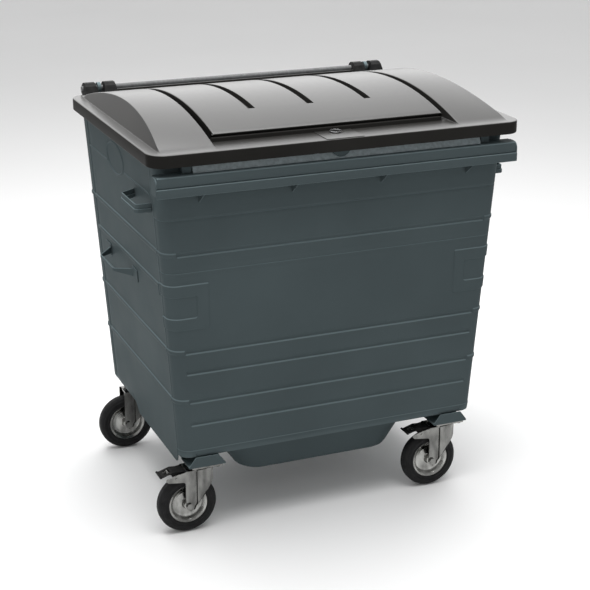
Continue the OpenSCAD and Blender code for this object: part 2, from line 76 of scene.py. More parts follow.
CASTORS = {"fl": (-0.445, -0.351), "fr": (0.445, -0.351), "rl": (-0.445, 0.351), "rr": (0.445, 0.351)}
TRAIL = 0.062
AXLE_Z = GROUND + 0.100


# ---------- materials ----------

class Surface:
    """A Principled material, with short calls that hang procedural detail on it."""

    def __init__(self, name, **sockets):
        self.material = bpy.data.materials.new(name)
        self.material.use_nodes = True
        self.tree = self.material.node_tree
        self.shader = self.tree.nodes["Principled BSDF"]
        for key, value in sockets.items():
            self.shader.inputs[key.replace("_", " ")].default_value = value
        self.place = self.node("ShaderNodeTexCoord").outputs["Object"]

    def node(self, kind, **inputs):
        """Adds a node; an input given as another node's output is linked."""
        made = self.tree.nodes.new(kind)
        for key, value in inputs.items():
            socket = made.inputs[int(key[1:]) if key[0] == "_" else key]
            if isinstance(value, bpy.types.NodeSocket):
                self.tree.links.new(value, socket)
            else:
                socket.default_value = value
        return made

    def noise(self, scale, detail=3.0, stretch=(1, 1, 1)):
        """Noise over the piece, with features about 1 / scale metres long."""
        moved = self.node("ShaderNodeMapping", Vector=self.place, Scale=stretch).outputs["Vector"]
        return self.node("ShaderNodeTexNoise", Vector=moved, Scale=scale, Detail=detail).outputs["Fac"]

    def ramp(self, value, *stops):
        """Maps a value through (position, colour) stops."""
        made = self.node("ShaderNodeValToRGB", Fac=value)
        colours = made.color_ramp.elements
        while len(colours) < len(stops):
            colours.new(0.5)
        for element, (position, colour) in zip(colours, stops):
            element.position = position
            element.color = (*colour, 1) if len(colour) == 3 else (colour[0],) * 3 + (1,)
        return made.outputs["Color"]

    def mix(self, share, first, second):
        """The first colour where share is 0, the second where it is 1."""
        made = self.node("ShaderNodeMix")
        made.data_type = "RGBA"
        for index, value in ((0, share), (6, first), (7, second)):
            socket = made.inputs[index]
            if isinstance(value, bpy.types.NodeSocket):
                self.tree.links.new(value, socket)
            else:
                socket.default_value = value if isinstance(value, float) else (*value, 1)
        return made.outputs[2]

    def edges(self, low, high):
        """1 along raised edges, 0 elsewhere."""
        pointed = self.node("ShaderNodeNewGeometry").outputs["Pointiness"]
        return self.ramp(pointed, (low, (0,)), (high, (1,)))

    def facing_up(self, low, high, least, most):
        """From least on upright faces to most on faces that look up."""
        normal = self.node("ShaderNodeNewGeometry").outputs["Normal"]
        height = self.node("ShaderNodeSeparateXYZ", Vector=normal).outputs["Z"]
        return self.ramp(height, (low, (least,)), (high, (most,)))

    def bump(self, height, strength, distance, under=None):
        """Surface normal bent by a height, on top of another bump where one is given."""
        made = self.node("ShaderNodeBump", Height=height, Strength=strength, Distance=distance)
        if under is not None:
            self.tree.links.new(under, made.inputs["Normal"])
        return made.outputs["Normal"]

    def finish(self, colour, roughness, normal):
        """Links the three results to the shader and gives the finished material."""
        for key, value in (("Base Color", colour), ("Roughness", roughness), ("Normal", normal)):
            self.tree.links.new(value, self.shader.inputs[key])
        return self.material


def tint(colour, factor):
    """A colour made lighter or darker by a factor."""
    return tuple(channel * factor for channel in colour)


def body_paint():
    """Slate-grey paint: slight orange peel, fine specks, edges lightened partly as rubbed wear and partly
    as painted highlight, and painted highlight on upward slopes.
    """
    base = (0.067, 0.086, 0.091)
    s = Surface("body_paint", Specular_IOR_Level=0.006)
    broad = s.ramp(s.noise(2.2, 4), (0.35, tint(base, 0.93)), (0.68, tint(base, 1.07)))
    specks = s.ramp(s.noise(420, 2), (0.70, (0,)), (0.76, (0.45,)))
    speckled = s.mix(specks, broad, tint(base, 1.8))
    # Painted highlight: faces that look up are lightened, as if lit from above, so the ridges show light
    # lines.
    painted_slope_light = s.mix(s.facing_up(0.15, 0.60, 0, 0.75), speckled, tint(base, 2.4))
    # Raised edges are lightened: partly rubbed wear, partly painted highlight.
    edge_wear_and_highlight = s.mix(s.edges(0.54, 0.66), painted_slope_light, tint(base, 1.9))
    rough = s.ramp(s.noise(9, 4), (0.3, (0.36,)), (0.7, (0.46,)))
    peel = s.bump(s.noise(160, 2), 0.10, 0.0008)
    return s.finish(edge_wear_and_highlight, rough, s.bump(s.noise(900, 1), 0.05, 0.0003, peel))


def lid_plastic():
    """Near-black moulded plastic with a fine grain; its reflection is strong on faces that look up and
    weak on upright faces, a painted sheen on top and painted shade on the upright faces.
    """
    base = (0.020, 0.0193, 0.0180)
    s = Surface("lid_plastic")
    broad = s.ramp(s.noise(3.5, 4), (0.35, tint(base, 0.9)), (0.70, tint(base, 1.15)))
    # Painted sheen and shade: the reflection strength follows which way a face looks, high on top and low
    # on upright faces.
    s.tree.links.new(s.facing_up(0.20, 0.75, 0.01, 0.50), s.shader.inputs["Specular IOR Level"])
    rough = s.ramp(s.noise(60, 4), (0.30, (0.28,)), (0.70, (0.295,)))
    return s.finish(broad, rough, s.bump(s.noise(1500, 2), 0.025, 0.0003))


def zinc(name, dark, light):
    """Zinc plate: cloudy between two levels, with fine rolling marks and dull spots."""
    base = (1.0, 1.0, 0.96)
    s = Surface(name, Metallic=1.0)
    clouds = s.ramp(s.noise(34, 5, (1, 1, 0.45)), (0.34, tint(base, dark)), (0.64, tint(base, light)))
    spots = s.ramp(s.noise(150, 4), (0.64, (0,)), (0.74, (0.25,)))
    spotted = s.mix(spots, clouds, (0.20, 0.19, 0.18))
    rough = s.ramp(s.noise(40, 4), (0.3, (0.17,)), (0.7, (0.27,)))
    return s.finish(spotted, rough, s.bump(s.noise(200, 3, (1, 1, 5)), 0.06, 0.0005))


def chrome():
    """Plated metal of the lock barrel, with faint swirl marks."""
    s = Surface("chrome", Metallic=1.0)
    bright = s.ramp(s.noise(90, 3), (0.3, (0.26, 0.26, 0.27)), (0.7, (0.36, 0.36, 0.36)))
    rough = s.ramp(s.noise(300, 3), (0.3, (0.10,)), (0.7, (0.20,)))
    return s.finish(bright, rough, s.bump(s.noise(700, 2), 0.05, 0.0002))


def tyre_rubber():
    """Black solid rubber, greyed by dust and scuffed in fine streaks."""
    base = (0.009, 0.009, 0.0095)
    s = Surface("tyre", Specular_IOR_Level=0.2)
    broad = s.ramp(s.noise(30, 4), (0.3, tint(base, 0.8)), (0.7, tint(base, 1.5)))
    painted_slope_light = s.mix(s.ramp(s.noise(110, 5), (0.52, (0,)), (0.80, (0.10,))), broad, (0.06, 0.058, 0.055))
    rough = s.ramp(s.noise(70, 3), (0.3, (0.55,)), (0.7, (0.78,)))
    return s.finish(painted_slope_light, rough, s.bump(s.noise(520, 4), 0.22, 0.0006))


def black_plastic():
    """Matt black plastic of the hinge eyes, pedals and pedal tips, with a coarse grain."""
    base = (0.014, 0.014, 0.014)
    s = Surface("black_plastic", Specular_IOR_Level=0.06)
    broad = s.ramp(s.noise(60, 3), (0.3, tint(base, 0.8)), (0.7, tint(base, 1.6)))
    rough = s.ramp(s.noise(120, 3), (0.3, (0.45,)), (0.7, (0.62,)))
    return s.finish(broad, rough, s.bump(s.noise(900, 2), 0.15, 0.0004))


def dull_coating(name, base):
    """Dull coating with a coarse grain, for the hinge rod and the pale strip under the lid."""
    s = Surface(name, Specular_IOR_Level=0.05)
    broad = s.ramp(s.noise(90, 4), (0.3, tint(base, 0.8)), (0.7, tint(base, 1.2)))
    rough = s.ramp(s.noise(90, 3), (0.3, (0.6,)), (0.7, (0.75,)))
    return s.finish(broad, rough, s.bump(s.noise(260, 3), 0.3, 0.0010))


MATERIALS = {
    "body_paint": body_paint(),
    "lid_plastic": lid_plastic(),
    "chrome": chrome(),
    "zinc": zinc("zinc", 0.12, 0.27),
    "bright_zinc": zinc("bright_zinc", 0.20, 0.50),
    "tyre": tyre_rubber(),
    "black_plastic": black_plastic(),
    "dull_grey": dull_coating("dull_grey", (0.165, 0.168, 0.170)),
    # The strip's base is raised to make up for the shade under the lid's skirt, so it holds painted light
    # on top of the strip's own grey.
    "pale_strip": dull_coating("pale_strip", (0.36, 0.42, 0.44)),
}


# ---------- mesh helpers ----------

class Shape:
    """Points and faces of a piece, gathered before they become one mesh."""

    def __init__(self):
        self.points = []
        self.faces = []

    def rows(self, rows, closed=False, keep=None):
        """Joins rows of points, all of one length, into a sheet of quads."""
        start, count = len(self.points), len(rows[0])
        for row in rows:
            self.points.extend(row)
        for i in range(len(rows) - 1):
            for j in range(count if closed else count - 1):
                if keep is None or keep(rows[i][j], rows[i + 1][(j + 1) % count]):
                    a, b = start + i * count, start + (i + 1) * count
                    k = (j + 1) % count
                    self.faces.append((a + j, a + k, b + k, b + j))
        return self

    def loft(self, loops):
        """A closed solid through loops of points, with flat ends."""
        start, count = len(self.points), len(loops[0])
        self.rows(loops, closed=True)
        last = start + (len(loops) - 1) * count
        self.faces.append(tuple(range(start + count - 1, start - 1, -1)))
        self.faces.append(tuple(range(last, last + count)))
        return self

    def prism(self, outline, axis, low, high):
        """A straight bar with a 2-D outline in the plane square to the named axis."""
        at = {"X": lambda a, p: Vector((a, p[0], p[1])), "Y": lambda a, p: Vector((p[0], a, p[1])),
              "Z": lambda a, p: Vector((p[0], p[1], a))}[axis]
        return self.loft([[at(a, p) for p in outline] for a in (low, high)])

    def turned(self, outline, centre, axis="Y", segments=96):
        """A ring: the closed (radius, along) outline turned about a line through the centre."""
        spin = [2 * math.pi * i / segments for i in range(segments + 1)]
        closed = list(outline) + [outline[0]]
        at = {"Y": lambda r, a, t: Vector((r * math.cos(t), a, r * math.sin(t))),
              "Z": lambda r, a, t: Vector((r * math.cos(t), r * math.sin(t), a))}[axis]
        return self.rows([[Vector(centre) + at(r, a, t) for r, a in closed] for t in spin])


def make(name, shape, body, slot, nodes=(), sheet=0.0, bevel=0.0, smooth=35):
    """Turns a shape into a piece that rides on a body and stands for the given CAD nodes.
    A sheet is thickened inwards; a solid gets its normals set outwards."""
    mesh = bpy.data.meshes.new(name)
    mesh.from_pydata([p + SHIFT for p in map(Vector, shape.points)], [], shape.faces)
    work = bmesh.new()
    work.from_mesh(mesh)
    bmesh.ops.remove_doubles(work, verts=work.verts, dist=2e-6)
    bmesh.ops.dissolve_degenerate(work, edges=work.edges, dist=1e-6)
    loose = [v for v in work.verts if not v.link_faces]
    bmesh.ops.delete(work, geom=loose, context="VERTS")
    if not sheet:
        bmesh.ops.recalc_face_normals(work, faces=work.faces)
    work.to_mesh(mesh)
    work.free()
    mesh.shade_smooth()
    mesh.set_sharp_from_angle(angle=math.radians(smooth))
    mesh.materials.append(MATERIALS[slot])
    piece = bpy.data.objects.new(name, mesh)
    bpy.context.scene.collection.objects.link(piece)
    if sheet:
        thick = piece.modifiers.new("thickness", "SOLIDIFY")
        thick.thickness = sheet
        thick.offset = -1
    if bevel:
        soften(piece, bevel)
    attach(piece, body)
    if nodes:
        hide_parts(*nodes)
    return piece


def soften(piece, width):
    """Rounds the sharp edges of a piece a little, so that they catch the light."""
    edge = piece.modifiers.new("edges", "BEVEL")
    edge.width = width
    edge.segments = 3
    edge.limit_method = "ANGLE"
    edge.angle_limit = math.radians(38)
    edge.harden_normals = True


def rounded(corners, radii, closed=True, steps=6):
    """A 2-D line or outline with each corner turned by an arc of its own radius."""
    points = []
    for i, corner in enumerate(corners):
        b = Vector(corner)
        radius = radii[i] if hasattr(radii, "__len__") else radii
        if not radius or (not closed and i in (0, len(corners) - 1)):
            points.append(tuple(b))
            continue
        u = Vector(corners[i - 1]) - b
        v = Vector(corners[(i + 1) % len(corners)]) - b
        half = u.angle(v) / 2
        reach = min(radius / math.tan(half), 0.49 * u.length, 0.49 * v.length)
        radius = reach * math.tan(half)
        u.normalize()
        v.normalize()
        centre = b + (u + v).normalized() * (radius / math.sin(half))
        start, end = b + u * reach - centre, b + v * reach - centre
        turn = start.angle_signed(end)
        for k in range(steps + 1):
            a = -turn * k / steps
            spun = Vector((start.x * math.cos(a) - start.y * math.sin(a),
                           start.x * math.sin(a) + start.y * math.cos(a)))
            points.append(tuple(centre + spun))
    return points


def soft_step(value):
    """0 below 0 and 1 above 1, with a smooth rise between."""
    t = min(max(value, 0.0), 1.0)
    return t * t * (3 - 2 * t)


def band(offset, half, slope):
    """1 in the middle of a band, falling smoothly to 0 at half its width."""
    return soft_step((half - abs(offset)) / slope)


def pressed(offset, half, upper, lower):
    """1 in the middle of a pressed line, with its own slope widths above and below."""
    return soft_step((half - offset) / upper) * soft_step((half + offset) / lower)


def spread(*marks):
    """Sorted positions from (low, high, step) spans, with near doubles dropped."""
    found = []
    for low, high, step in marks:
        count = max(1, round((high - low) / step))
        found += [low + (high - low) * i / count for i in range(count + 1)]
    kept = []
    for value in sorted(found):
        if not kept or value - kept[-1] > 0.0004:
            kept.append(value)
    return kept


# ---------- body ----------

# heights of the ridges that run round the sides and corners
ROUND_RIDGES = [0.980, 0.653, 0.481]
# heights of the ridge and the thin line that only the sides have, and the foot of the short upright
# bead at the ridge's front end
SIDE_RIDGE = 0.865
SIDE_LINE = 1.160
STUB_LOW_Z = 0.829
# heights of the front's grooves, seams and lowest bead
FRONT_GROOVES = [0.980, 0.653, 0.581, 0.481, 0.401]
FRONT_SEAMS = [1.093, 0.920]
FOOT_BEAD = 0.2945
# where the front and rear walls lap over the sides
SEAM_FRONT = -0.3425
SEAM_REAR = 0.366
# middle (y, z) and half sizes of the plain oval on each side
OVAL = (0.045, 1.188, 0.098, 0.056)
# lower and upper edge of the corner frame, measured inside and outside its raised border
FRAME_INNER = (0.770, 0.839)
FRAME_OUTER = (0.728, 0.881)
# width of the flat front's run into each corner arc
CORNER_RUN = 0.012


def wall(z):
    """Half width, front and rear of the leaning body walls at height z."""
    t = (z - BODY_LOW_Z) / (BODY_TOP_Z - BODY_LOW_Z)
    return 0.529 + 0.0705 * t, -0.386 - 0.029 * t, 0.430 + 0.016 * t


def box_depth(x, z, low, high):
    """How far a point is inside a rounded box, negative outside."""
    r = 0.006
    dx = max(low[0] + r - x, x - high[0] + r)
    dz = max(low[1] + r - z, z - high[1] + r)
    outside = math.hypot(max(dx, 0), max(dz, 0))
    return r - (outside + min(max(dx, dz), 0))


def corner_frame(x, z):
    """Height of the pressed frame that opens towards each front corner."""
    beyond = 0.9
    inner = box_depth(x, z, (0.472, FRAME_INNER[0]), (beyond, FRAME_INNER[1]))
    outer = box_depth(x, z, (0.430, FRAME_OUTER[0]), (beyond, FRAME_OUTER[1]))
    return 0.0030 * soft_step(min(outer, -inner) / 0.004)


def front_relief(x, z):
    """How far the front stands out at x along it: grooves, seams, corner frames and corner ridges."""
    tangent = wall(z)[0] - CORNER_R
    flat = soft_step((tangent - x) / 0.010)
    out = corner_frame(x, z)
    for level in FRONT_GROOVES:
        out -= 0.0044 * flat * pressed(z - level, 0.0095, 0.0110, 0.0042)
    for level in FRONT_SEAMS:
        out -= 0.0010 * band(z - level, 0.0018, 0.0014)
    for level in ROUND_RIDGES:
        out += 0.0030 * (1 - flat) * band(z - level, 0.0100, 0.0070)
    out += 0.0012 * band(z - FOOT_BEAD, 0.0125, 0.003)
    return out


def side_relief(y, z):
    """How far a side stands out at y along it: ridges, the oval, and the line that the oval breaks."""
    height, bend_y = 0.0034, -0.298
    out = max(height * pressed(z - level, 0.0100, 0.0045, 0.0080) for level in ROUND_RIDGES)
    short = pressed(z - SIDE_RIDGE, 0.0100, 0.0045, 0.0080) * soft_step((y + 0.334) / 0.006)
    stub = band(y + 0.324, 0.0090, 0.0060) * soft_step((z - STUB_LOW_Z) / 0.006)
    stub *= soft_step((0.870 - z) / 0.006)
    reach = math.hypot((y - OVAL[0]) / OVAL[2], (z - OVAL[1]) / OVAL[3])
    oval = band((reach - 0.95) * OVAL[3], 0.0045, 0.0035)
    droop = 14 * min(y - bend_y, 0) ** 2
    line = band(z - SIDE_LINE + droop, 0.0045, 0.0038) * soft_step((reach - 1.10) / 0.08)
    return max(out, height * short, height * stub, 0.0026 * oval, 0.0022 * line)


def level_list():
    """Heights of the mesh lines on the walls, close together at each pressed line."""
    spans = [(BODY_LOW_Z, BODY_TOP_Z, 0.020)]
    for level in sorted(set(ROUND_RIDGES + FRONT_GROOVES + [SIDE_RIDGE])):
        spans.append((level - 0.0105, level + 0.0105, 0.0015))
    for level in FRONT_SEAMS + [BODY_LOW_Z + 0.025]:
        spans.append((level - 0.002, level + 0.002, 0.0008))
    for level in (*FRAME_OUTER, *FRAME_INNER, STUB_LOW_Z + 0.002):
        spans.append((level - 0.007, level + 0.007, 0.0014))
    spans.append((OVAL[1] - 0.058, OVAL[1] + 0.058, 0.0018))
    return spread(*spans)


def end_wall(sign):
    """The front (sign -1) or rear (sign 1) wall with both corners, as rows of points."""
    seam = SEAM_FRONT if sign < 0 else SEAM_REAR
    fixed = spread((0, 0.42, 0.03), (0.426, 0.438, 0.0015), (0.445, 0.465, 0.01), (0.467, 0.479, 0.0015))
    last_fixed = 0.48
    rows = []
    for z in level_list():
        half, front, rear = wall(z)
        face = front if sign < 0 else rear
        tangent = half - CORNER_R
        run = tangent - CORNER_RUN
        near = [last_fixed + (run - last_fixed) * i / 4 for i in range(1, 4)]
        near += [run + CORNER_RUN * i / 8 for i in range(9)]
        points = []
        for x in fixed + near:
            out = front_relief(x, z) if sign < 0 else rear_relief(z)
            points.append(Vector((x, face + sign * out, z)))
        out = front_relief(tangent + 0.010, z) if sign < 0 else rear_relief(z)
        centre = face - sign * CORNER_R
        for i in range(1, 13):
            a = math.pi / 2 * i / 12
            r = CORNER_R + out
            points.append(Vector((tangent + r * math.sin(a), centre + sign * r * math.cos(a), z)))
        for i in range(1, 9):
            y = centre + (seam - centre) * i / 8
            lap = 0.0014 * soft_step((0.009 - abs(y - seam)) / 0.003)
            drop = 0.009 * i / 8 if sign < 0 and z == BODY_LOW_Z else 0.0
            points.append(Vector((half + out + lap, y, z - drop)))
        rows.append([Vector((-p.x, p.y, p.z)) for p in points[:0:-1]] + points)
    return rows


def rear_relief(z):
    """The ridges that cross the rear wall."""
    return max(0.0032 * band(z - level, 0.0100, 0.0070) for level in ROUND_RIDGES)


def side_wall(sign):
    """One side wall as rows of points; its lower edge drops to a tab between the castors."""
    columns = spread((-0.3415, 0.365, 0.030), (-0.3415, -0.296, 0.0016), (-0.060, 0.150, 0.0022))
    tab = rounded([(-0.3415, 0.272), (-0.332, 0.255), (-0.316, 0.248), (0.095, 0.248), (0.130, 0.282)],
                  [0, 0.012, 0.020, 0.010, 0], closed=False)

    def lower_edge(y):
        if not tab[0][0] < y < tab[-1][0]:
            return BODY_LOW_Z
        i = next(k for k in range(len(tab) - 1) if tab[k + 1][0] >= y)
        share = (y - tab[i][0]) / max(tab[i + 1][0] - tab[i][0], 1e-6)
        return tab[i][1] + (tab[i + 1][1] - tab[i][1]) * share

    def tab_point(y, share):
        z = BODY_LOW_Z + share * (lower_edge(y) - BODY_LOW_Z)
        return Vector((sign * wall(z)[0], y, z))

    rows = [[tab_point(y, share) for y in columns] for share in (1.0, 0.9, 0.6, 0.3)]
    for z in level_list():
        rows.append([Vector((sign * (wall(z)[0] + side_relief(y, z)), y, z)) for y in columns])
    return rows


def build_walls():
    """The pressed steel walls: front, rear and two sides."""
    front = Shape().rows(end_wall(-1))
    make("front_wall", front, "container", "body_paint", ["front_panel"], sheet=SHEET, smooth=60)
    rear = Shape().rows([row[::-1] for row in end_wall(1)])
    make("rear_wall", rear, "container", "body_paint", ["rear_panel"], sheet=SHEET, smooth=60)
    for name, sign in (("left", -1), ("right", 1)):
        rows = side_wall(sign)
        if sign < 0:
            rows = [row[::-1] for row in rows]
        make("side_wall_" + name, Shape().rows(rows), "container", "body_paint", ["side_panel_" + name],
             sheet=SHEET, smooth=60)


def ring_of(half_x, front, rear, radius, z):
    """A rounded rectangle of points at height z, anticlockwise from above."""
    corners = [(half_x, front), (half_x, rear), (-half_x, rear), (-half_x, front)]
    return [Vector((x, y, z)) for x, y in rounded(corners, radius, steps=10)]


# half width, half depth, corner radius and height of each ring of the dropped middle, from the top
SUMP_RINGS = [(0.364, 0.325, 0.096, 0.2850), (0.354, 0.316, 0.090, 0.2835), (0.348, 0.310, 0.086, 0.2780),
              (0.288, 0.278, 0.082, 0.1600), (0.279, 0.271, 0.078, 0.1460), (0.266, 0.260, 0.066, 0.1392),
              (0.250, 0.246, 0.052, 0.1380)]


def build_floor_pan():
    """Floor with its dropped middle, a soft-cornered pressed tray."""
    floor_z, gap = BODY_LOW_Z + 0.003, 0.0025
    half, front, rear = wall(floor_z)
    loops = [ring_of(half - gap, front + gap, rear - gap, 0.036, floor_z)]
    loops += [ring_of(x, -y, y, radius, z) for x, y, radius, z in SUMP_RINGS]
    pan = Shape().rows(loops, closed=True)
    last = len(pan.points) - len(loops[0])
    pan.faces.append(tuple(range(last, len(pan.points))))
    pan.faces = [face[::-1] for face in pan.faces]
    make("floor_pan", pan, "container", "body_paint", ["base_pan"], sheet=SHEET, smooth=50)


def rim_ends(front, top):
    """Both end plates of the comb rim, each with a round weld button."""
    back, low, x, button_r = -0.416, 1.188, 0.6110, 0.006
    plate = rounded([(front, low), (front, top), (back, top), (back, low)], [0.004, 0.021, 0.008, 0.004])
    turns = [2 * math.pi * i / 24 for i in range(24)]
    button = [(-0.4535 + button_r * math.cos(a), 1.2315 + button_r * math.sin(a)) for a in turns]
    ends = Shape()
    for side in (-1, 1):
        ends.prism(plate, "X", side * x - 0.0027, side * x + 0.0027)
        ends.prism(button, "X", side * x - 0.0030, side * x + 0.0030)
    return ends


def build_comb_rim():
    """The stepped lifting rim along the front, with its bent top and its two end plates."""
    top, step, low = 1.245, 1.211, 1.182
    band_y, face_y = -0.466, -0.471
    back = wall(top)[1] - 0.0003
    t = 0.0025
    upper = rounded([(back, top), (band_y, top), (band_y, step + 0.002), (band_y + t, step + 0.002),
                     (band_y + t, top - t), (back, top - t)],
                    [0, 0.0045, 0.0005, 0.0005, 0.0025, 0], steps=5)
    rim = Shape().prism(upper, "X", -0.6085, 0.6085)
    lower = rounded([(band_y + t + 0.001, step + 0.004), (band_y + t + 0.001, step - 0.001),
                     (face_y, step - 0.0015), (face_y, low), (face_y + t, low),
                     (face_y + t, step - 0.004), (band_y + 2 * t, step - 0.004),
                     (band_y + 2 * t, step + 0.004)],
                    [0, 0, 0.002, 0.001, 0.001, 0, 0, 0], steps=5)
    rim.prism(lower, "X", -0.6125, 0.6125)
    make("comb_rim_front", rim, "container", "body_paint", ["comb_rim"], bevel=0.0006)
    make("comb_rim_ends", rim_ends(face_y + 0.003, top), "container", "body_paint", ["rim_end_caps"],
         bevel=0.0012)


# ---------- handles ----------

def strap(path, thick, edges_at):
    """Loops of a flat bar bent along a plan path; edges_at(x) gives its lower and upper edges."""
    loops = []
    for i, (x, y) in enumerate(path):
        ahead = Vector(path[min(i + 1, len(path) - 1)]) - Vector(path[max(i - 1, 0)])
        side = Vector((-ahead.y, ahead.x)).normalized() * thick / 2
        low, high = edges_at(x)
        loops.append([Vector((x - side.x, y - side.y, low)), Vector((x + side.x, y + side.y, low)),
                      Vector((x + side.x, y + side.y, high)), Vector((x - side.x, y - side.y, high))])
    return loops


def mirrored(points, sign):
    """Points drawn on the right, moved to the side that sign names."""
    return [Vector((sign * p.x, p.y, p.z)) for p in points]


def upper_handle(sign):
    """A bent strap with a thicker grip under it, near the front of a side."""
    root_x, grip_x, front_y = wall(1.12)[0] + 0.001, 0.6375, -0.3355
    path = rounded([(root_x, -0.152), (grip_x, -0.1835), (grip_x, front_y), (root_x, front_y)],
                   [0, 0.014, 0.010, 0], closed=False)
    shape = Shape()
    for thick, edges in ((0.004, (1.120, 1.136)), (0.0095, (1.108, 1.1205))):
        loops = strap(path, thick, lambda x, edges=edges: edges)
        shape.loft([mirrored(loop, sign) for loop in loops])
    return shape


def lower_handle(sign):
    """A strap that tapers towards its grip, with a foot plate at each end."""
    root_edges, grip_edges = (0.803, 0.829), (0.8095, 0.8205)
    root_x, grip_x = wall(0.815)[0], 0.618

    def taper(x):
        share = soft_step((abs(x) - root_x) / (grip_x - root_x))
        return [a + (b - a) * share for a, b in zip(root_edges, grip_edges)]

    path = rounded([(root_x + 0.001, 0.232), (grip_x, 0.183), (grip_x, 0.024), (root_x + 0.001, -0.033)],
                   [0, 0.022, 0.022, 0], closed=False)
    shape = Shape().loft([mirrored(loop, sign) for loop in strap(path, 0.006, taper)])
    foot_low, foot_high = 0.795, 0.839
    for low_y, high_y in ((-0.086, -0.027), (0.226, 0.285)):
        foot = rounded([(low_y, foot_low), (high_y, foot_low), (high_y, foot_high), (low_y, foot_high)],
                       0.006)
        loops = [[Vector((wall(z)[0] + out, y, z)) for y, z in foot] for out in (0.0003, 0.0033)]
        shape.loft([mirrored(loop, sign) for loop in loops])
    return shape


def build_handles():
    """The two handles of each side."""
    for name, sign in (("left", -1), ("right", 1)):
        make("side_handle_" + name, upper_handle(sign), "container", "body_paint",
             ["upper_handle_" + name], bevel=0.0016)
        make("grab_handle_" + name, lower_handle(sign), "container", "body_paint",
             ["lower_handle_" + name], bevel=0.0014)


# ---------- lid ----------

# rounding between the lid's border and its skirt, and of the lid's corners in plan
EDGE = 0.003
LID_CORNER_R = 0.055
DOME_HALF = (DOME_REAR - DOME_FRONT) / 2
DOME_MID = (DOME_REAR + DOME_FRONT) / 2
DOME_R = (DOME_HALF ** 2 + DOME_H ** 2) / (2 * DOME_H)
# half width, front and rear of the hole under the flap
HOLE_X, HOLE_FRONT, HOLE_REAR = 0.365, -0.335, 0.390


def arc(y):
    """Height of the dome's bare arc above the lid's border."""
    return math.sqrt(DOME_R ** 2 - (y - DOME_MID) ** 2) - DOME_R + DOME_H


def dome(y):
    """Height of the dome, run out softly into the border at both feet."""
    height, soft = arc(y), 0.005
    if height > soft:
        return height
    return 0.0 if height < -soft else (height + soft) ** 2 / (4 * soft)


def apron(x, y):
    """Height of the flat in front of the flap, with the low upstand that the flap closes over."""
    if y > -0.3505:
        return 0.0
    reach = 0.4010 if x < 0 else 0.3875
    wide = 0.0105 * soft_step((reach - abs(x)) / 0.0016) + 0.002 * soft_step((0.4108 - abs(x)) / 0.0016)
    return wide * soft_step((y + 0.3660) / 0.0026)


def cheek_section(height):
    """Half a cross-section from the lid's edge in to the foot of the cheek's inner wall, as (x, z)."""
    full = max(height, 0.012)
    corners = [(-LID_X + EDGE, 0), (-GABLE_X - 0.004, 0), (-GABLE_X, 0),
               (-GABLE_X + GABLE_LEAN * full, full), (-CHEEK_X, full), (-CHEEK_X + 0.0022, 0),
               (-CHEEK_X + 0.010, 0)]
    radii = [0, 0, min(0.0012, 0.6 * full), min(0.0028, 0.4 * full), min(0.0030, 0.4 * full),
             min(0.0030, 0.2 * full), 0]
    line = rounded(corners, radii, closed=False, steps=8)
    return [(x, z * height / full) for x, z in line]


# distances from the middle of the mesh lines between the cheeks, from the outside in
APRON_X = spread((0.3855, 0.4022, 0.0016), (HOLE_X, 0.3855, 0.0070), (0.0, HOLE_X, 0.0365))[::-1]


def lid_row(y):
    """One row of the lid's top, from its left edge to its right edge."""
    height = dome(y)
    left = cheek_section(height)
    if y > HOLE_REAR:
        strip = height - 0.003 * (1 - soft_step((y - HOLE_REAR) / 0.003))
        start = next(i for i, (x, _) in enumerate(left) if x > -CHEEK_X - 0.0045)
        left = left[:start] + [(x, min(height, strip)) for x, _ in left[start:]]
        left += [(-x, strip) for x in APRON_X]
    else:
        left += [(-x, 0.0) for x in APRON_X]
    edge = left[0][0]
    left = [(edge + (left[1][0] - edge) * k / 4, 0) for k in range(4)] + left[1:]
    row = left + [(-x, z) for x, z in left[-2::-1]]
    return [(x, z + apron(x, y)) for x, z in row]


def on_rounded_border(x, y):
    """Moves a point of the lid's rectangular net so that the net's corners follow the rounded plan."""
    radius = LID_CORNER_R - EDGE
    u = (abs(x) - (LID_X - EDGE - radius)) / radius
    v = (abs(y) - (LID_Y - EDGE - radius)) / radius
    if u <= 0 or v <= 0:
        return x, y
    moved_x = abs(x) + (u * math.sqrt(1 - v * v / 2) - u) * radius
    moved_y = abs(y) + (v * math.sqrt(1 - u * u / 2) - v) * radius
    return math.copysign(moved_x, x), math.copysign(moved_y, y)


def skirt_loops(rim):
    """Loops of points down the turned-down skirt, from the rim of the lid's top to its free edge."""
    low_side, short_x, short_drop = LID_Y - 0.020, 0.6165, 0.012
    steps = [(0.0009, 0.0002), (0.0021, 0.0009), (0.0028, 0.0020), (EDGE, 0.0032), (EDGE, SKIRT - 0.0030),
             (0.0025, SKIRT - 0.0008), (0.0015, SKIRT)]
    loops = [rim]
    for out, drop in steps:
        loop = []
        for p in rim:
            inner_x = max(min(p.x, LID_X - LID_CORNER_R), LID_CORNER_R - LID_X)
            inner_y = max(min(p.y, LID_Y - LID_CORNER_R), LID_CORNER_R - LID_Y)
            away = (p.xy - Vector((inner_x, inner_y))).normalized()
            at_hinge = p.y > low_side and abs(p.x) < short_x
            fall = min(drop, short_drop) if at_hinge else drop
            loop.append(Vector((p.x + away.x * out, p.y + away.y * out, LID_Z - fall)))
        loops.append(loop)
    return loops


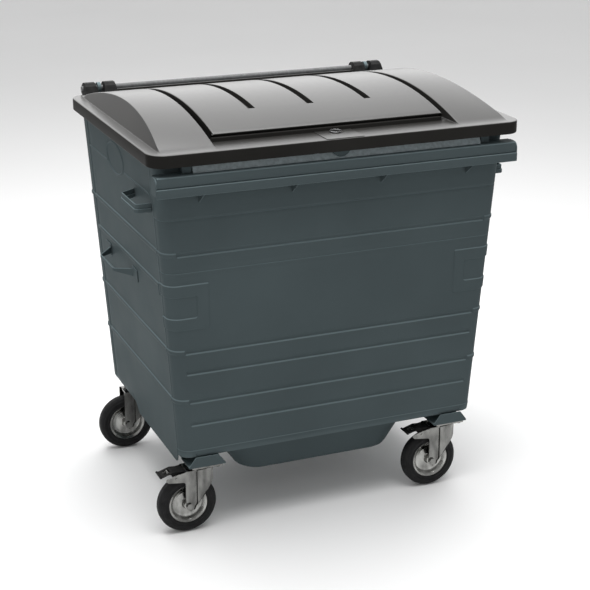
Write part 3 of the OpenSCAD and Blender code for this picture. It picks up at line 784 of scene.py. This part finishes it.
def build_lid():
    """The lid moulding: border, skirt, two domed cheeks, the strip behind the flap, and the rear rib."""
    edge = LID_Y - EDGE
    lines = spread((-edge, -0.376, 0.008), (-0.3668, -0.3628, 0.0005), (-0.360, -0.334, 0.0050),
                   (-0.32, 0.38, 0.020), (0.389, 0.394, 0.0006), (0.40, edge, 0.008))
    rows = []
    for y in lines:
        moved = [(*on_rounded_border(x, y), LID_Z + z) for x, z in lid_row(y)]
        rows.append([Vector(point) for point in moved])

    def keep(a, b):
        x, y = (a + b).xy / 2
        return abs(x) > HOLE_X or not HOLE_FRONT < y < HOLE_REAR

    lid = Shape().rows(rows, keep=keep)
    rim = rows[0] + [row[-1] for row in rows[1:]] + rows[-1][-2::-1] + [row[0] for row in rows[-2:0:-1]]
    lid.rows([loop[::-1] for loop in skirt_loops(rim)], closed=True)
    make("lid_moulding", lid, "lid", "lid_plastic", ["lid_shell"], sheet=0.0045, smooth=40)
    foot_z, top_z, rib_x = LID_Z - 0.001, LID_Z + 0.0125, 0.457
    rib = rounded([(0.4650, foot_z), (0.4705, foot_z), (0.4700, top_z), (0.4655, top_z)],
                  [0, 0, 0.0015, 0.0015], steps=4)
    make("lid_rear_rib", Shape().prism(rib, "X", -rib_x, rib_x), "lid", "lid_plastic", bevel=0.0008)


# ---------- flap ----------

GROOVES_X = [-0.205, -0.002, 0.201]
GROOVE_ENDS = (-0.197, 0.352)
GROOVE_HALF = 0.0124
FLAP_X = 0.392


def groove(x, y):
    """Depth of the flap's long square-ended grooves."""
    depth = max(0.016 * soft_step((0.0118 - abs(x - middle)) / 0.0020) for middle in GROOVES_X)
    return depth * soft_step((y - GROOVE_ENDS[0]) / 0.003) * soft_step((GROOVE_ENDS[1] - y) / 0.003)


def flap_stations():
    """Rows of the flap from front to back, as (y, height of the top, height of the side's free edge)."""
    low = 0.0005
    lip = [(-0.3480, 0.0010, low), (-0.3480, 0.0175, low), (-0.3487, 0.0183, 0.0175),
           (-0.3545, 0.0186, 0.0181), (-0.3557, 0.0192, 0.0187), (-0.3560, 0.0205, 0.0198),
           (-0.3552, 0.0222, 0.0182), (-0.3535, arc(-0.3535) - 0.0004, 0.0181)]
    middle = spread((-0.350, 0.379, 0.022), (-0.1975, -0.1930, 0.0006), (0.348, 0.3525, 0.0006))
    back = [(0.3818, arc(0.3818) - 0.0007, low), (0.3835, arc(0.3835) - 0.0026, low), (0.384, 0.002, low)]
    return lip + [(y, arc(y), low) for y in middle] + back


def build_flap():
    """The small flap in the lid, a curved sheet with turned-down edges and a thin front lip."""
    columns = [(-FLAP_X + 0.004, FLAP_X - 0.004, 0.030)]
    flank = GROOVE_HALF - 0.003
    for middle in GROOVES_X:
        columns.append((middle - GROOVE_HALF, middle - flank, 0.0005))
        columns.append((middle - flank, middle + flank, 0.0047))
        columns.append((middle + flank, middle + GROOVE_HALF, 0.0005))
    flat = spread(*columns)
    rows = []
    for y, top, low in flap_stations():
        turn = min(0.003, max(top - low, 0.0002) * 0.5)
        side = [(-FLAP_X, low), (-FLAP_X, top - turn), (-FLAP_X + 0.3 * turn, top - 0.3 * turn),
                (-FLAP_X + turn, top)]
        row = side + [(x, top - groove(x, y)) for x in flat] + [(-x, z) for x, z in side[::-1]]
        rows.append([Vector((x, y, LID_Z + z)) for x, z in row])
    make("flap_panel", Shape().rows(rows), "flap", "lid_plastic", ["flap_shell"], sheet=0.0035, smooth=40)


# ---------- castors ----------

def at(corner, x, y, z):
    """A point given from a castor's swivel axis."""
    cx, cy = CASTORS[corner]
    return Vector((cx + x, cy + y, z))


FORK_LOW = AXLE_Z - 0.020
FORK_TOP = 0.234
# radius of a fork cheek's rounded lower end
CHEEK_R = 0.019
# half the distance between the outer faces of the two cheeks
FORK_HALF = 0.0337
# right edge of a fork cheek, as (height, distance from the swivel axis)
FORK_EDGE = [(FORK_LOW, -0.0352), (AXLE_Z - 0.004, -0.0350), (0.118, -0.0220), (0.130, -0.0100),
             (0.148, 0.0010), (0.163, 0.0100), (0.178, 0.0195), (0.192, 0.0235), (FORK_TOP, 0.0240)]
CREASE_X = -0.036
# outline of the brake arm, as (distance from the swivel axis, height)
ARM = [(-0.062, 0.183), (-0.0735, 0.184), (-0.0745, 0.1955), (-0.131, 0.203), (-0.139, 0.210),
       (-0.137, 0.218), (-0.100, 0.2275), (-0.062, 0.2338)]


def cheek_line(z):
    """Left and right edge of a fork cheek at height z from the swivel axis."""
    drop = AXLE_Z - 0.001 - z
    if drop > 0:
        middle = -TRAIL + 0.008
        half = math.sqrt(max(CHEEK_R ** 2 - drop ** 2, 1e-8))
        return middle - half, middle + half
    i = next(k for k in range(len(FORK_EDGE) - 1) if FORK_EDGE[k + 1][0] >= z - 1e-6)
    (z0, x0), (z1, x1) = FORK_EDGE[i:i + 2]
    return -TRAIL - 0.011, x0 + (x1 - x0) * (z - z0) / (z1 - z0)


def cheek_swell(x, crease, right):
    """How far a fork cheek stands out: flat, then a groove at the crease, then a bow that turns in."""
    if x < crease - 0.0020:
        return 0.0
    if x < crease + 0.0010:
        return -0.0028
    share = (x - crease) / max(right - crease, 0.001)
    return 0.0032 * math.sin(math.pi * min(0.25 + 0.75 * share, 1.0)) - 0.0085 * share ** 2


def build_fork(corner, braked):
    """Pressed fork: two cheeks creased from top to bottom, a crown, and arms where it has a brake."""
    cheeks = Shape()
    heights = spread((FORK_LOW + 0.0001, AXLE_Z, 0.0020), (AXLE_Z, FORK_TOP, 0.006))
    for side in (-1, 1):
        rows = []
        for z in heights:
            left, right = cheek_line(z)
            crease = min(CREASE_X, left + 0.8 * (right - left))
            bow = crease + 0.0025
            marks = [left, left + 0.002, (left + crease) / 2]
            marks += [crease - 0.0022, crease - 0.0008, crease + 0.0008]
            marks += [bow + (right - bow) * i / 9 for i in range(10)]
            faces = [side * (FORK_HALF + cheek_swell(x, crease, right)) for x in marks]
            rows.append([at(corner, x, y, z) for x, y in zip(marks, faces)])
        cheeks.rows([row if side < 0 else row[::-1] for row in rows])
    make("fork_cheeks_" + corner, cheeks, "castor_" + corner, "zinc", ["fork_" + corner], sheet=0.0030,
         bevel=0.0006, smooth=22)
    crown = Shape()
    plate = rounded([(-0.068, -0.0338), (0.023, -0.0305), (0.023, 0.0305), (-0.068, 0.0338)], 0.010)
    crown.loft([[at(corner, x, y, z) for x, y in plate] for z in (FORK_TOP - 0.006, FORK_TOP)])
    if braked:
        arm = rounded(ARM, [0, 0, 0.007, 0.004, 0.004, 0.004, 0.020, 0])
        for low, high in ((-0.0336, -0.0309), (0.0309, 0.0336)):
            crown.loft([[at(corner, x, y, z) for x, z in arm] for y in (low, high)])
    make("fork_crown_" + corner, crown, "castor_" + corner, "zinc", bevel=0.0010)


def build_pedal_roller(corner):
    """Bright roller that shows in the window of a brake pedal."""
    radius, half = 0.0042, 0.0112
    outline = rounded([(0.0, -half), (radius, -half), (radius, half), (0.0, half)],
                      [0, 0.0010, 0.0010, 0], steps=4)
    roller = Shape().turned(outline, at(corner, -0.1235, 0, 0.2285), segments=32)
    make("pedal_roller_" + corner, roller, "brake_" + corner, "zinc")


def mirrored_profile(half):
    """A closed (radius, y) outline from its half at positive y, given from the hub outwards."""
    return half + [(r, -y) for r, y in half[::-1]]


def build_wheel(corner):
    """Dished steel wheel disc with a hub tube, and a solid rubber tyre with ringed side walls."""
    centre = at(corner, -TRAIL, 0, AXLE_Z)
    disc = rounded([(0.0061, 0.029), (0.0160, 0.029), (0.0175, 0.0085), (0.0400, 0.0050),
                    (0.0500, 0.0065), (0.0590, 0.0170), (0.0635, 0.0190), (0.0655, 0.0205),
                    (0.0655, 0.001)],
                   [0, 0.0015, 0.006, 0.008, 0.007, 0.005, 0.001, 0.001, 0], closed=False, steps=5)
    wheel = Shape().turned(mirrored_profile(disc), centre)
    plate = make("wheel_plate_" + corner, wheel, "wheel_" + corner, "zinc", ["wheel_disc_" + corner],
                 smooth=50)
    plate.data.materials[0] = MATERIALS["bright_zinc"]
    outline = rounded([(0.0660, 0.0010), (0.0660, 0.0200), (0.0690, 0.0235), (0.0725, 0.0248),
                       (0.0745, 0.0226), (0.0800, 0.0228), (0.0812, 0.0240), (0.0870, 0.0232),
                       (0.0882, 0.0212), (0.0950, 0.0185), (0.1000, 0.0100), (0.1000, 0.0010)],
                      [0, 0.001, 0.003, 0.002, 0.001, 0.001, 0.001, 0.001, 0.001, 0.007, 0.010, 0],
                      closed=False, steps=4)
    tyre = Shape().turned(mirrored_profile(outline), centre)
    make("wheel_tyre_" + corner, tyre, "wheel_" + corner, "tyre", ["tyre_" + corner], smooth=40)


def build_lock():
    """Plated ring of the lock barrel round a dark sunken core."""
    centre = (0.002, -0.388, 0)
    foot_z, bore_r, ring_in, ring_out = 1.2890, 0.0120, 0.0190, 0.0206
    ring = rounded([(bore_r, foot_z), (0.0138, foot_z), (0.0138, LID_Z + 0.0023),
                    (ring_out, LID_Z + 0.0023), (ring_out, LID_Z + 0.0056), (0.0200, LID_Z + 0.0064),
                    (0.0192, LID_Z + 0.0060), (ring_in, LID_Z + 0.0026), (bore_r, LID_Z + 0.0026)],
                   [0, 0, 0, 0.0006, 0.0006, 0.0006, 0.0006, 0.0004, 0], steps=5)
    make("lock_ring", Shape().turned(ring, centre, "Z"), "lock", "chrome", ["lock_barrel"])
    core_r, cup_r, recess_z = bore_r - 0.0001, ring_in - 0.0001, LID_Z - 0.012
    core = [(0.0, foot_z + 0.0005), (core_r, foot_z + 0.0005), (core_r, LID_Z + 0.0028),
            (cup_r, LID_Z + 0.0028), (cup_r, LID_Z + 0.0056), (0.0170, LID_Z + 0.0044),
            (0.0112, LID_Z + 0.0036), (0.0106, recess_z), (0.0, recess_z)]
    make("lock_core", Shape().turned(core, centre, "Z"), "lock", "black_plastic")


# ---------- nodes kept from the CAD model ----------

def dress_cad_nodes():
    """Gives every CAD node its record's finish, and rounds its edges where it shows."""
    slots = {part["node"]: part["material_slot"] for part in frame["record"]["subparts"]}
    usual = 0.0006
    widths = {"lock_plate": 0.0008, "hinge_lugs": 0.0022, "lid_stops": 0.004, "top_frame": 0.001}
    for name, node in frame["nodes"].items():
        node.data.materials.clear()
        node.data.materials.append(MATERIALS[slots[name]])
        if not node.hide_render:
            weld = node.modifiers.new("weld", "WELD")
            weld.merge_threshold = 0.00001
            soften(node, widths.get(name, usual))


# ---------- stage ----------

def build_floor():
    """A pale floor that is much larger than the view."""
    reach = 100
    floor = bpy.data.meshes.new("studio_floor")
    floor.from_pydata([(-reach, -reach, 0), (reach, -reach, 0), (reach, reach, 0), (-reach, reach, 0)],
                      [], [(0, 1, 2, 3)])
    s = Surface("studio_floor", Specular_IOR_Level=0.1)
    tone = s.ramp(s.noise(0.6, 2), (0.3, (0.87, 0.87, 0.87)), (0.7, (0.89, 0.89, 0.89)))
    rough = s.ramp(s.noise(3, 2), (0.3, (0.85,)), (0.7, (0.9,)))
    floor.materials.append(s.finish(tone, rough, s.bump(s.noise(40, 2), 0.02, 0.001)))
    stage = bpy.data.objects.new("studio_floor", floor)
    bpy.context.scene.collection.objects.link(stage)


def build_sky():
    """A soft sky that is brightest behind the bin, so that the lid's top catches it."""
    world = bpy.data.worlds.new("studio_sky")
    bpy.context.scene.world = world
    world.use_nodes = True
    nodes, links = world.node_tree.nodes, world.node_tree.links
    towards = nodes.new("ShaderNodeVectorMath")
    towards.operation = "DOT_PRODUCT"
    towards.inputs[1].default_value = Vector((0.35, 0.90, 0.25)).normalized()
    glow = nodes.new("ShaderNodeValToRGB")
    stops = glow.color_ramp.elements
    stops.new(0.72)
    for stop, (position, level) in zip(stops, ((0.40, 0.46), (0.72, 0.62), (0.91, 2.00))):
        stop.position = position
        stop.color = (level, level, level, 1)
    links.new(nodes.new("ShaderNodeTexCoord").outputs["Generated"], towards.inputs[0])
    links.new(towards.outputs["Value"], glow.inputs[0])
    links.new(glow.outputs["Color"], nodes["Background"].inputs["Color"])


def build_lamp():
    """One large soft lamp overhead."""
    lamp = bpy.data.lights.new("overhead", "AREA")
    lamp.shape = "RECTANGLE"
    lamp.size, lamp.size_y = 4.5, 4.0
    lamp.energy = 270
    place, aim = Vector((-0.2, 0.1, 4.4)), Vector((0.0, 0.0, 1.0))
    holder = bpy.data.objects.new("overhead", lamp)
    holder.location = place
    holder.rotation_euler = (aim - place).to_track_quat("-Z", "Y").to_euler()
    bpy.context.scene.collection.objects.link(holder)


def build_camera():
    """The camera, at the photograph's viewing angle."""
    camera = bpy.data.cameras.new("camera")
    camera.lens = 90.65
    camera.sensor_width = 36.0
    camera.clip_end = 400
    looks_down, turned_right = math.radians(19.46), math.radians(22.53)
    holder = bpy.data.objects.new("camera", camera)
    holder.location = (-1.8579, -4.5646, 2.3719)
    holder.rotation_euler = (math.pi / 2 - looks_down, 0, -turned_right)
    bpy.context.scene.collection.objects.link(holder)
    bpy.context.scene.camera = holder
    bpy.context.scene.view_settings.view_transform = "Standard"


build_camera()
build_walls()
build_floor_pan()
build_comb_rim()
build_handles()
build_lid()
build_flap()
for castor in CASTORS:
    build_fork(castor, braked=castor[0] == "f")
    build_wheel(castor)
for castor in ("fl", "fr"):
    build_pedal_roller(castor)
build_lock()
dress_cad_nodes()
build_floor()
build_sky()
build_lamp()
